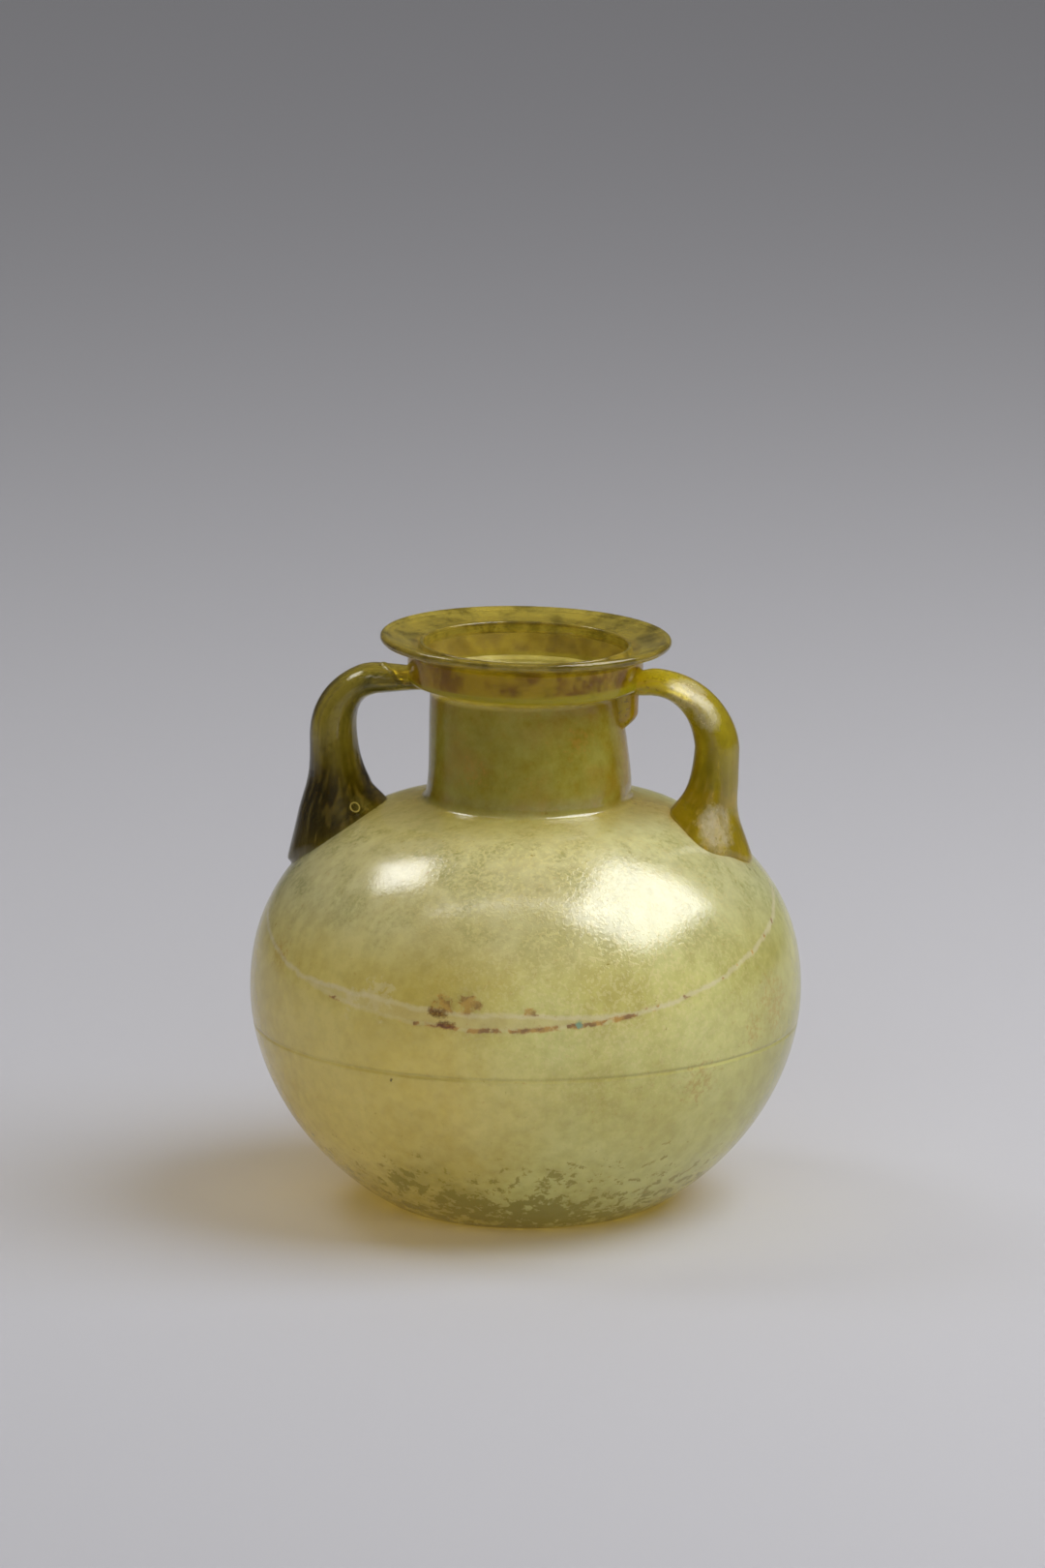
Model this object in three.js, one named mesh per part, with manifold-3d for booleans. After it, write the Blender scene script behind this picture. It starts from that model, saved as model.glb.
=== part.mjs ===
// Amphoriskos: a small squat jar of free-blown glass with two applied handles.
// Millimetres, +Z up. The origin is on the jar's axis in the plane it stands on, and +X runs
// towards the handle whose trail ends in a tail on the neck.
//
// The jar is worked hot, so its pieces are gathers and layers of glass:
//   body          the blown bubble: base, bowl, shoulder, neck and the cup of the mouth
//   collar        the layer of the rim that is folded down outside the cup
//   rim           the flange laid over the fold, with a rolled edge
//   handle_right  a ribbed trail from shoulder to collar, its end folded down the neck
//   handle_left   a ribbed trail from shoulder to collar, its end folded over itself

import * as THREE from "three";
import { mergeVertices } from "three/addons/utils/BufferGeometryUtils.js";
import Module from "manifold-3d";

const wasm = await Module();
wasm.setup();

// Bowl and shoulder: two superellipses that meet at the widest level
const BODY_RADIUS = 57;
const WIDEST_HEIGHT = 45;
const BOWL_DEPTH = 52.2; // how far the lower curve would reach if the base were not flattened
const BOWL_POWER = 1.92;
const SHOULDER_RISE = 43.3; // how far the upper curve would reach if there were no neck
const SHOULDER_POWER = 2.2;

// Base: flattened, with a shallow kick inside a resting ring
const HEEL_HEIGHT = 1.6;
const REST_OUTER_RADIUS = 26;
const REST_INNER_RADIUS = 17;
const KICK_HEIGHT = 1.4;

// The wheel-cut line round the bowl
const LINE_HEIGHT = 38.6;
const LINE_WIDTH = 1.1;
const LINE_DEPTH = 0.35;

// Neck, and the cup that it widens into at the mouth
const CUP_TOP = 115.1;
const CUP_HEIGHT = 8.1; // from where the neck starts to flare
const NECK_HEIGHT = CUP_TOP - CUP_HEIGHT;
const NECK_FOOT_RADIUS = 21.1;
const NECK_TOP_RADIUS = 19.7;
const NECK_FILLET = 4.4; // how far the sweep from shoulder to neck spreads, each way
const CUP_RADIUS = 22.4;
const FLARE_HEIGHT = 3.4;

// Wall thicknesses of the bubble
const BASE_WALL = 3;
const BODY_WALL = 1.9;
const NECK_WALL = 1.8;
const CUP_WALL = 1.4;

// Collar: the folded band outside the cup
const COLLAR_WALL = 1.6;
const COLLAR_HEIGHT = 5.8;
const COLLAR_EDGE_ROUND = 0.7;

// Rim: a dished flange with a rolled edge and a small ridge round the mouth
const RIM_RADIUS = 30;
const RIM_EDGE_ROUND = 1;
const RIM_EDGE_TURN = 105; // degrees that the edge's roundness turns, up and down from level
const RIM_DISH = 2.5; // how far the flange falls from its rolled edge to the mouth
const RIM_THICKNESS = 1.2; // beside the mouth
const RIDGE_ROUND = 0.45;

// Handles: trails of glass with ribs, drawn up from a splayed foot
const STEM_DEPTH = 8.5; // in the plane of the handle
const STEM_WIDTH = 10.5;
const FOOT_WIDTH = 21.5; // round the jar
const FOOT_SETTLE = 14; // height over which the rings turn from the shoulder's slope to level
const ARM_WIDTH = 11;
const RIB_COUNT = 6;
const RIB_DEPTH_FOOT = 0.055; // as a share of the section, at the foot and at the arm
const RIB_DEPTH_ARM = 0.03;

// What differs between the two handles. The inset is from the jar's widest radius in to the
// middle of the stem's top, and the splay from there out to the middle of the foot. The heel is
// the foot's side towards the neck and the toe its far side, both measured beyond the stem. The
// bend takes a share of the way from collar to stem. The arm's rise is from the collar's lower
// edge to its middle, where it meets the collar and where it leaves the bend. The stem narrows
// to the arm between two shares of the trail's length, and its end is pinched by a share.
const RIGHT_HANDLE = {
  azimuth: 0,
  inset: 17.7,
  splay: -0.9,
  heel: 4.2,
  heelHeight: 8.8,
  toe: 4.4,
  toeHeight: 5,
  bendShare: 0.867,
  bendHeight: 13.5,
  armRiseAtCollar: 0.7,
  armRiseAtBend: 1.2,
  armDepth: 4.9,
  narrowFrom: 0.45,
  narrowTo: 0.85,
  pinch: 0,
};
const LEFT_HANDLE = {
  azimuth: 180,
  inset: 16.4,
  splay: 0.4,
  heel: 6.7,
  heelHeight: 10.5,
  toe: 4.3,
  toeHeight: 6,
  bendShare: 0.644,
  bendHeight: 12.5,
  armRiseAtCollar: -0.8,
  armRiseAtBend: -0.9,
  armDepth: 6,
  narrowFrom: 0.35,
  narrowTo: 0.62,
  pinch: 0.25,
};

// The right handle's surplus end, folded down on the neck
const TAIL_LENGTH = 8.7;
const TAIL_WIDTH = 8.6;
const TAIL_DEPTH = 3.6;
const TAIL_TAPER = 0.15; // share by which it narrows before its rounded end
const TAIL_END = 0.3; // share of its length that is rounded off

// The left handle's surplus end, a small roll laid slantwise across the arm
const ROLL_RADIUS = 1.2;
const ROLL_REACH = 5; // how far out from the collar it starts

// The jar was worked by hand: its neck stands a little off the axis of the bowl, and its mouth
// leans towards the right handle
const NECK_SHIFT = 0.85;
const SHIFT_START = 80;
const SHIFT_FULL = 90;
const LEAN_DEGREES = 1.3;
const LEAN_START = 88;

const SEAT_GAP = 0.3; // between two layers of glass that lie on each other

// How finely the curves are divided
const SEGMENTS = 48; // round the jar
const INNER_DETAIL = 0.6; // the inside's points, as a share of the outside's
const BOWL_SPACING = 1.5; // above 1, the bowl's points are closer together near the base
const HANDLE_SPACING = 1.25; // the same for a handle's rings near its foot
const HANDLE_RINGS = 26;
const HANDLE_POINTS = 36;
const TAIL_RINGS = 10;
const TAIL_POINTS = 20;

const COLLAR_INNER = CUP_RADIUS + SEAT_GAP;
const COLLAR_RADIUS = COLLAR_INNER + COLLAR_WALL;
const COLLAR_BOTTOM = CUP_TOP - COLLAR_HEIGHT;

const point = (r, z) => new THREE.Vector2(r, z);
const ramp = THREE.MathUtils.smoothstep;

// One quarter of a superellipse: radius at a height above or below the widest level.
function superellipseRadius(offset, reach, power) {
  const share = Math.min(1, Math.abs(offset) / reach);
  return BODY_RADIUS * (1 - share ** power) ** (1 / power);
}

const bowlRadius = (z) => superellipseRadius(WIDEST_HEIGHT - z, BOWL_DEPTH, BOWL_POWER);

// Height of the shoulder's outer face at a radius.
function shoulderHeight(radius) {
  const share = Math.min(1, radius / BODY_RADIUS);
  return WIDEST_HEIGHT + SHOULDER_RISE * (1 - share ** SHOULDER_POWER) ** (1 / SHOULDER_POWER);
}

// Points from one height to another on the bowl, closer together near the base.
function bowlPoints(from, to, count) {
  const points = [];
  for (let i = 0; i <= count; i += 1) {
    const z = from + (to - from) * (i / count) ** BOWL_SPACING;
    points.push(point(bowlRadius(z), z));
  }
  return points;
}

// Points from the widest level up the shoulder, to a radius.
function shoulderPoints(toRadius, count) {
  const last = Math.acos((toRadius / BODY_RADIUS) ** (SHOULDER_POWER / 2));
  const points = [];
  for (let i = 1; i <= count; i += 1) {
    const radius = BODY_RADIUS * Math.cos((last * i) / count) ** (2 / SHOULDER_POWER);
    points.push(point(radius, shoulderHeight(radius)));
  }
  return points;
}

// The outer face of the bubble from the resting ring to the lip of the cup. A detail of 1 gives
// the points of the outer face, and less gives fewer.
function outerWall(detail = 1) {
  const count = (full) => Math.ceil(full * detail);
  const filletRadius = NECK_FOOT_RADIUS + NECK_FILLET;
  const filletStart = point(filletRadius, shoulderHeight(filletRadius));
  const slope = point(-1, shoulderHeight(filletRadius - 1) - filletStart.y).normalize();
  const run = NECK_FILLET * 0.75;
  const neckFoot = point(NECK_FOOT_RADIUS, filletStart.y + NECK_FILLET);
  const fillet = new THREE.CubicBezierCurve(
    filletStart,
    filletStart.clone().addScaledVector(slope, run),
    point(NECK_FOOT_RADIUS, neckFoot.y - run),
    neckFoot,
  );
  const flare = new THREE.CubicBezierCurve(
    point(NECK_TOP_RADIUS, NECK_HEIGHT),
    point(NECK_TOP_RADIUS, NECK_HEIGHT + FLARE_HEIGHT * 0.7),
    point(CUP_RADIUS, NECK_HEIGHT + FLARE_HEIGHT * 0.4),
    point(CUP_RADIUS, NECK_HEIGHT + FLARE_HEIGHT),
  );
  const heel = new THREE.QuadraticBezierCurve(
    point(REST_OUTER_RADIUS, 0),
    point(bowlRadius(0), 0),
    point(bowlRadius(HEEL_HEIGHT), HEEL_HEIGHT),
  );
  return [
    ...heel.getPoints(count(3)),
    ...bowlPoints(HEEL_HEIGHT, LINE_HEIGHT - LINE_WIDTH / 2, count(9)).slice(1),
    ...bowlPoints(LINE_HEIGHT + LINE_WIDTH / 2, WIDEST_HEIGHT, count(2)),
    ...shoulderPoints(filletRadius, count(11)),
    ...fillet.getPoints(count(5)).slice(1),
    ...flare.getPoints(count(5)),
    point(CUP_RADIUS, CUP_TOP),
  ];
}

// Thickness of the bubble at a height, from the named walls.
function wallAt(z) {
  const base = BASE_WALL + (BODY_WALL - BASE_WALL) * ramp(z, 0, WIDEST_HEIGHT / 2);
  const neck = base + (NECK_WALL - BODY_WALL) * ramp(z, WIDEST_HEIGHT, NECK_HEIGHT);
  return neck + (CUP_WALL - NECK_WALL) * ramp(z, NECK_HEIGHT, NECK_HEIGHT + FLARE_HEIGHT);
}

// The same line moved towards the inside of the bubble, by a distance that may vary with height.
function offsetLine(line, distance) {
  return line.map((p, i) => {
    const before = line[Math.max(0, i - 1)];
    const after = line[Math.min(line.length - 1, i + 1)];
    const along = after.clone().sub(before).normalize();
    return point(p.x - along.y * distance(p.y), p.y + along.x * distance(p.y));
  });
}

// Turns a profile of (radius, height) points round the jar's axis.
function turned(profile) {
  return new THREE.LatheGeometry(profile, SEGMENTS).rotateX(Math.PI / 2);
}

function bodyGeometry() {
  const wall = outerWall();
  const inside = offsetLine(outerWall(INNER_DETAIL), wallAt)
    .filter((p) => p.y > BASE_WALL && p.y < CUP_TOP - CUP_WALL);
  const floorHeight = KICK_HEIGHT + BASE_WALL;
  const line = [
    point(bowlRadius(LINE_HEIGHT) - LINE_DEPTH, LINE_HEIGHT - LINE_WIDTH / 5),
    point(bowlRadius(LINE_HEIGHT) - LINE_DEPTH, LINE_HEIGHT + LINE_WIDTH / 5),
  ];
  const lineAt = wall.findIndex((p) => p.y > LINE_HEIGHT);
  const floor = new THREE.QuadraticBezierCurve(
    inside[0],
    point(inside[0].x * 0.72, BASE_WALL),
    point(0, floorHeight),
  );
  const kick = new THREE.QuadraticBezierCurve(
    point(0, KICK_HEIGHT),
    point(REST_INNER_RADIUS * 0.5, KICK_HEIGHT),
    point(REST_INNER_RADIUS, 0),
  );
  return turned([
    ...kick.getPoints(4),
    ...wall.slice(0, lineAt),
    ...line,
    ...wall.slice(lineAt),
    point(CUP_RADIUS - CUP_WALL, CUP_TOP),
    ...inside.reverse(),
    ...floor.getPoints(4).slice(1),
  ]);
}

// An arc of a profile about a centre, between two angles in degrees.
function arc(x, y, radius, from, to, count) {
  const points = [];
  for (let i = 0; i <= count; i += 1) {
    const angle = THREE.MathUtils.degToRad(from + ((to - from) * i) / count);
    points.push(point(x + radius * Math.cos(angle), y + radius * Math.sin(angle)));
  }
  return points;
}

function collarGeometry() {
  const round = COLLAR_EDGE_ROUND;
  const low = COLLAR_BOTTOM + round;
  const profile = [
    point(COLLAR_INNER, CUP_TOP),
    ...arc(COLLAR_INNER + round, low, round, 180, 270, 3),
    ...arc(COLLAR_RADIUS - round, low, round, 270, 360, 3),
    point(COLLAR_RADIUS, CUP_TOP),
  ];
  return turned([...profile, profile[0].clone()]);
}

function rimGeometry() {
  const under = CUP_TOP + SEAT_GAP;
  const mouth = CUP_RADIUS - CUP_WALL;
  const mouthTop = under + RIM_THICKNESS;
  const edgeRadius = RIM_RADIUS - RIM_EDGE_ROUND;
  const edgeHeight = mouthTop + RIM_DISH - RIM_EDGE_ROUND;
  const profile = [
    point(mouth, under),
    point(COLLAR_RADIUS, under),
    ...arc(edgeRadius, edgeHeight, RIM_EDGE_ROUND, -RIM_EDGE_TURN, RIM_EDGE_TURN, 9),
    point(mouth + RIDGE_ROUND * 5, mouthTop + RIM_DISH * 0.16),
    point(mouth + RIDGE_ROUND * 2.6, mouthTop),
    ...arc(mouth + RIDGE_ROUND, mouthTop, RIDGE_ROUND, 45, 180, 3),
  ];
  return turned([...profile, profile[0].clone()]);
}

// Joins rings of equally many points into one closed surface, with a flat fan on each end.
function loft(rings) {
  const around = rings[0].length;
  const positions = rings.flat().flatMap((p) => [p.x, p.y, p.z]);
  const faces = [];
  for (let i = 0; i + 1 < rings.length; i += 1) {
    for (let j = 0; j < around; j += 1) {
      const a = i * around + j;
      const b = i * around + ((j + 1) % around);
      faces.push(a, b, b + around, a, b + around, a + around);
    }
  }
  const addCap = (ring, first, flip) => {
    const centre = ring.reduce((sum, p) => sum.add(p), new THREE.Vector3());
    const middle = positions.length / 3;
    positions.push(...centre.divideScalar(around).toArray());
    for (let j = 0; j < around; j += 1) {
      const a = first + j;
      const b = first + ((j + 1) % around);
      faces.push(middle, flip ? b : a, flip ? a : b);
    }
  };
  addCap(rings[0], 0, true);
  addCap(rings.at(-1), (rings.length - 1) * around, false);
  const geometry = new THREE.BufferGeometry();
  geometry.setAttribute("position", new THREE.Float32BufferAttribute(positions, 3));
  return geometry.setIndex(faces);
}

function toSolid(geometry) {
  const bare = geometry.clone();
  bare.deleteAttribute("normal");
  bare.deleteAttribute("uv");
  const merged = mergeVertices(bare, 1e-4);
  return new wasm.Manifold(
    new wasm.Mesh({
      numProp: 3,
      vertProperties: merged.attributes.position.array,
      triVerts: new Uint32Array(merged.index.array),
    }),
  );
}

function toGeometry(solid) {
  const mesh = solid.getMesh();
  const geometry = new THREE.BufferGeometry();
  geometry.setAttribute("position", new THREE.BufferAttribute(mesh.vertProperties, 3));
  return geometry.setIndex(new THREE.BufferAttribute(mesh.triVerts, 1));
}

// Everything that a handle may not enter: the jar filled up, and grown by the seat gap.
function clearanceSolid() {
  const grown = offsetLine(outerWall(), () => -SEAT_GAP);
  const collarEdge = COLLAR_BOTTOM - SEAT_GAP;
  const profile = [
    point(0, -1),
    ...grown.filter((p) => p.y < collarEdge && p.y > 0),
    point(COLLAR_RADIUS + SEAT_GAP - COLLAR_EDGE_ROUND, collarEdge),
    point(COLLAR_RADIUS + SEAT_GAP, collarEdge + COLLAR_EDGE_ROUND),
    point(COLLAR_RADIUS + SEAT_GAP, CUP_TOP + RIM_RADIUS),
    point(0, CUP_TOP + RIM_RADIUS),
  ];
  return toSolid(turned(profile));
}

const stemReach = (handle) => BODY_RADIUS - handle.inset;
const footReach = (handle) => stemReach(handle) + handle.splay;

// The middle line of a handle, in the plane of radius and height.
function handlePath(handle) {
  const reach = stemReach(handle);
  const bendWidth = handle.bendShare * (reach - COLLAR_RADIUS);
  const footHeight = shoulderHeight(footReach(handle));
  const armEnd = point(NECK_TOP_RADIUS + 1, COLLAR_BOTTOM + handle.armRiseAtCollar);
  const bendEnd = point(reach - bendWidth, COLLAR_BOTTOM + handle.armRiseAtBend);
  const bendStart = point(reach, bendEnd.y - handle.bendHeight);
  const roundness = 0.56; // reach of a Bezier handle, for a bend close to a quarter circle
  const path = new THREE.Path();
  path.moveTo(footReach(handle), footHeight - 2);
  path.lineTo(bendStart.x, bendStart.y);
  path.bezierCurveTo(
    bendStart.x,
    bendStart.y + handle.bendHeight * roundness,
    bendEnd.x + bendWidth * roundness,
    bendEnd.y,
    bendEnd.x,
    bendEnd.y,
  );
  path.lineTo(armEnd.x, armEnd.y);
  return path;
}

// Rings of the ribbed section along a handle, from under its foot to inside the collar. The foot
// spreads on the shoulder, more steeply towards the neck than away from it.
function handleRings(handle) {
  const path = handlePath(handle);
  const footHeight = shoulderHeight(footReach(handle));
  const spread = (rise, height) => Math.exp(-((rise / height) ** 1.5));
  const rings = [];
  for (let i = 0; i <= HANDLE_RINGS; i += 1) {
    const u = (i / HANDLE_RINGS) ** HANDLE_SPACING;
    const centre = path.getPointAt(u);
    const along = path.getTangentAt(u);
    const rise = Math.max(0, centre.y - footHeight);
    const toArm = ramp(u, handle.narrowFrom, handle.narrowTo);
    const pinch = 1 - handle.pinch * ramp(u, handle.narrowTo, 1);
    const half = (pinch * (STEM_DEPTH + (handle.armDepth - STEM_DEPTH) * toArm)) / 2;
    const toe = half + handle.toe * spread(rise, handle.toeHeight);
    const heel = half + handle.heel * spread(rise, handle.heelHeight);
    const stemWidth = STEM_WIDTH + (ARM_WIDTH - STEM_WIDTH) * toArm;
    const width = stemWidth + (FOOT_WIDTH - stemWidth) * spread(rise, handle.heelHeight * 0.8);
    const ribs = RIB_DEPTH_FOOT + (RIB_DEPTH_ARM - RIB_DEPTH_FOOT) * u;
    const slope = 1 - ramp(rise, 0, FOOT_SETTLE);
    const ring = [];
    for (let j = 0; j < HANDLE_POINTS; j += 1) {
      const angle = (2 * Math.PI * j) / HANDLE_POINTS;
      const lobe = 1 - ribs * Math.cos(RIB_COUNT * angle);
      const out = (Math.cos(angle) > 0 ? toe : heel) * lobe * Math.cos(angle);
      const side = (width / 2) * lobe * Math.sin(angle);
      const radius = centre.x + out * along.y;
      const height = centre.y - out * along.x;
      const fall = shoulderHeight(Math.hypot(radius, side)) - footHeight;
      ring.push(new THREE.Vector3(radius, side, height + fall * slope));
    }
    rings.push(ring);
  }
  return rings;
}

// A flat tongue of glass on the neck, from inside the collar's lower edge down.
function tailSolid() {
  const rings = [];
  for (let i = 0; i <= TAIL_RINGS; i += 1) {
    const u = i / TAIL_RINGS;
    const intoEnd = Math.max(0, u - 1 + TAIL_END) / TAIL_END;
    const taper = Math.sqrt(1.02 - intoEnd ** 2) * (1 - TAIL_TAPER * u);
    const height = COLLAR_BOTTOM + 1 - u * (TAIL_LENGTH + 1);
    const ring = [];
    for (let j = 0; j < TAIL_POINTS; j += 1) {
      const angle = (-2 * Math.PI * j) / TAIL_POINTS;
      const out = NECK_TOP_RADIUS + SEAT_GAP + TAIL_DEPTH * taper * Math.cos(angle);
      ring.push(new THREE.Vector3(out, (TAIL_WIDTH / 2) * taper * Math.sin(angle), height));
    }
    rings.push(ring);
  }
  return toSolid(loft(rings));
}

// A short round roll from the top of the left handle's arm to its near side at the collar.
function rollSolid() {
  const armMiddle = COLLAR_BOTTOM + LEFT_HANDLE.armRiseAtCollar;
  const armTop = armMiddle + LEFT_HANDLE.armDepth / 2;
  const start = new THREE.Vector3(COLLAR_RADIUS + ROLL_REACH, 1, armTop - ROLL_RADIUS);
  const end = new THREE.Vector3(COLLAR_RADIUS + ROLL_RADIUS, ARM_WIDTH * 0.42, armMiddle);
  const along = end.clone().sub(start);
  const roll = new THREE.CapsuleGeometry(ROLL_RADIUS, along.length(), 3, 10);
  const up = new THREE.Vector3(0, 1, 0);
  roll.applyQuaternion(new THREE.Quaternion().setFromUnitVectors(up, along.normalize()));
  const middle = start.add(end).divideScalar(2);
  roll.translate(middle.x, middle.y, middle.z);
  return toSolid(roll);
}

function handleGeometry(handle, surplus) {
  const trail = toSolid(loft(handleRings(handle)));
  const worked = trail.add(surplus).subtract(clearanceSolid());
  return toGeometry(worked).rotateZ(THREE.MathUtils.degToRad(handle.azimuth));
}

// Gives what is above the shoulder the jar's hand-made lean and the neck its shift.
function lean(geometry) {
  const positions = geometry.attributes.position;
  const p = new THREE.Vector3();
  const axis = new THREE.Vector3(0, 1, 0);
  for (let i = 0; i < positions.count; i += 1) {
    p.fromBufferAttribute(positions, i);
    const { z } = p;
    const angle = THREE.MathUtils.degToRad(LEAN_DEGREES) * ramp(z, LEAN_START, NECK_HEIGHT);
    const offAxis = ramp(z, SHIFT_START, SHIFT_FULL) * (1 - ramp(z, SHIFT_FULL, CUP_TOP));
    p.z -= CUP_TOP;
    p.applyAxisAngle(axis, angle);
    p.z += CUP_TOP;
    positions.setXYZ(i, p.x + NECK_SHIFT * offAxis, p.y, p.z);
  }
  geometry.computeVertexNormals();
  return geometry;
}

const glass = (color, roughness) => new THREE.MeshStandardMaterial({ color, roughness, metalness: 0 });

const part = new THREE.Group();

function add(name, geometry, material) {
  const mesh = new THREE.Mesh(lean(geometry), material);
  mesh.name = name;
  part.add(mesh);
}

add("body", bodyGeometry(), glass(0xa9a662, 0.35));
add("collar", collarGeometry(), glass(0xa07a14, 0.25));
add("rim", rimGeometry(), glass(0x7c7a2e, 0.15));
add("handle_right", handleGeometry(RIGHT_HANDLE, tailSolid()), glass(0x8a7412, 0.25));
add("handle_left", handleGeometry(LEFT_HANDLE, rollSolid()), glass(0x4c4a12, 0.2));

export default part;
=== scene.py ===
"""Looks of an amphoriskos: a squat two-handled jar of free-blown, weathered glass.

Metres, +Z up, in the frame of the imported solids. The five layers of glass follow the solids' sizes
and formulas, are divided more finely, and have the softer lobes, toes and fillets of hot glass.
"""

import math
from functools import partial

import bmesh
import bpy
import numpy as np
from bpy.props import FloatProperty, FloatVectorProperty, PointerProperty
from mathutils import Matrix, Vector
from mathutils.kdtree import KDTree


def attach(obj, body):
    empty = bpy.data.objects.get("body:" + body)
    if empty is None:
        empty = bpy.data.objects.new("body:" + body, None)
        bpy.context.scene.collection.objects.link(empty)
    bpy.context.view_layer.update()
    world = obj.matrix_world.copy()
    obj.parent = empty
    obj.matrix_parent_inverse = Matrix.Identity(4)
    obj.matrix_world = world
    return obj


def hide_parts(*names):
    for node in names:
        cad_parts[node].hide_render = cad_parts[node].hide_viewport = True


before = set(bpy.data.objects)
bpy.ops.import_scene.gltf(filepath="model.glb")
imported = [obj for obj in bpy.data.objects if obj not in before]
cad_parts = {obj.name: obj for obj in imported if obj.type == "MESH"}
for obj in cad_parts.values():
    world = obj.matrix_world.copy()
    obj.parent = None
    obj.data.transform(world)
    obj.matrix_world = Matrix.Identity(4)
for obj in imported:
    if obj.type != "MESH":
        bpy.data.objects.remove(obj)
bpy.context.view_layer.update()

bl_info = {
    "name": "Two-handled glass jar",
    "version": (1, 0, 0),
    "blender": (4, 5, 0),
    "location": "View3D > Sidebar > Glass jar",
    "description": "Dresses the solids of a squat jar in weathered free-blown glass",
    "category": "Add Mesh",
}

# Bowl and shoulder, two superellipses that meet at the widest level
BOWL_DEPTH = 0.0522
BOWL_POWER = 1.92
SHOULDER_RISE = 0.0433
SHOULDER_POWER = 2.2

# Base: flattened, with a shallow kick inside a resting ring
HEEL_HEIGHT = 0.0016
REST_OUTER_RADIUS = 0.026
REST_INNER_RADIUS = 0.017
KICK_HEIGHT = 0.0014

# The wheel-cut line round the bowl
LINE_HEIGHT = 0.0386
LINE_WIDTH = 0.0015
LINE_DEPTH = 0.00022

# Neck and cup
CUP_HEIGHT = 0.0081
NECK_FILLET = 0.003
SHOULDER_DIP = 0.0009
DIP_REACH = 0.009
FLARE_HEIGHT = 0.0034

# Walls of the bubble
BASE_WALL = 0.003
BODY_WALL = 0.0019
NECK_WALL = 0.0018
CUP_WALL = 0.0014

# Collar and rim
COLLAR_WALL = 0.0016
COLLAR_EDGE_ROUND = 0.0007
RIM_EDGE_ROUND = 0.0009
RIM_DISH = 0.00249
RIM_THICKNESS = 0.0012
RIDGE_ROUND = 0.00045
RIDGE_RISE = 0.0005

# Handles
STEM_WIDTH = 0.0105
FOOT_WIDTH = 0.0215
FOOT_SETTLE = 0.014
ARM_WIDTH = 0.011
RIB_DEPTH_FOOT = 0.075
RIB_DEPTH_ARM = 0.03
FOOT_ROUND = 0.0022
FOOT_CURL = 0.15
HEEL_FADE = (0.009, 0.02)
SPREAD_POWER = 1.5
FOOT_SINK = 0.002
BEND_ROUNDNESS = 0.56
PATH_STEP = 0.0004
# How uneven the section is: an oval share, and a three-cornered one that turns along the trail
UNEVEN_OVAL = 0.02
UNEVEN_CORNERS = 0.015
CORNERS_TURN = 9

# The two handles. Heel and toe are how far the foot swells inwards and outwards. The section
# narrows from stem to arm between two shares of the length, is pinched towards the collar, and
# has a valley between its lobes at the angle given.
RIGHT_HANDLE = {
    "azimuth": 0,
    "splay": -0.002,
    "heel": 0.0027,
    "heel_height": 0.0068,
    "toe": 0.0049,
    "toe_height": 0.0052,
    "toe_power": 2.0,
    "spread_height": 0.007,
    "bend_share": 0.867,
    "bend_height": 0.0135,
    "arm_rise_at_collar": 0.0004,
    "arm_rise_at_bend": 0.0012,
    "stem_depth": 0.0086,
    "arm_depth": 0.0051,
    "narrow_from": 0.45,
    "narrow_to": 0.85,
    "pinch": 0.2,
    "lobes": 4,
    "valley": math.radians(-125),
}
LEFT_HANDLE = {
    "azimuth": math.pi,
    "splay": 0.0004,
    "heel": 0.007,
    "heel_height": 0.0095,
    "toe": 0.0041,
    "toe_height": 0.0064,
    "toe_power": 1.5,
    "spread_height": 0.0102,
    "bend_share": 0.644,
    "bend_height": 0.0125,
    "arm_rise_at_collar": -0.0005,
    "arm_rise_at_bend": -0.0009,
    "stem_depth": 0.0096,
    "arm_depth": 0.0065,
    "narrow_from": 0.42,
    "narrow_to": 0.72,
    "pinch": 0.3,
    "lobes": 3,
    "valley": math.radians(-75),
}

# The surplus ends of the two trails
TAIL_LENGTH = 0.0087
TAIL_WIDTH = 0.0086
TAIL_DEPTH = 0.0036
TAIL_TAPER = 0.15
TAIL_END = 0.3
TAIL_SLANT = 0.1
TAIL_START = 0.001
ROLL_RADIUS = 0.0012
ROLL_REACH = 0.005

# Hand-made shift of the neck and lean of the mouth
NECK_SHIFT = 0.00085
SHIFT_START = 0.08
SHIFT_FULL = 0.09
LEAN = math.radians(1.3)
LEAN_START = 0.088

NOISE = "ShaderNodeTexNoise"
RANGE = "ShaderNodeMapRange"
MATHS = "ShaderNodeMath"
VECTOR = "ShaderNodeVectorMath"
MIX = "ShaderNodeMix"
BUMP = "ShaderNodeBump"
PRINCIPLED = "ShaderNodeBsdfPrincipled"

# Refractive indices: clean glass, and the skin that has dried on it
GLASS_INDEX = 1.5
SKIN_INDEX = 1.6

# Layers of glass: the gap that parts them as solids, and how deep the dressed ones sink into each
# other where they were fused
LAYER_GAP = 0.0003
WELD = 0.00005

# Stage: the point that lamps and camera are placed round, and the floor's reach to each side
AIM = Vector((0, 0, 0.06))
FLOOR_REACH = 9.0

# How finely the curves are divided
SEGMENTS = 192
HANDLE_RINGS = 110
HANDLE_POINTS = 120
HANDLE_SPACING = 1.25

# Edges that turn by more than this stay crisp
SHARP_ANGLE = math.radians(40)


def linear(code):
    """Turns an sRGB hex value into a linear colour with an alpha of 1."""
    parts = [int(code[i : i + 2], 16) / 255 for i in (1, 3, 5)]
    curve = [c / 12.92 if c <= 0.04045 else ((c + 0.055) / 1.055) ** 2.4 for c in parts]
    return (*curve, 1.0)


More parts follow.
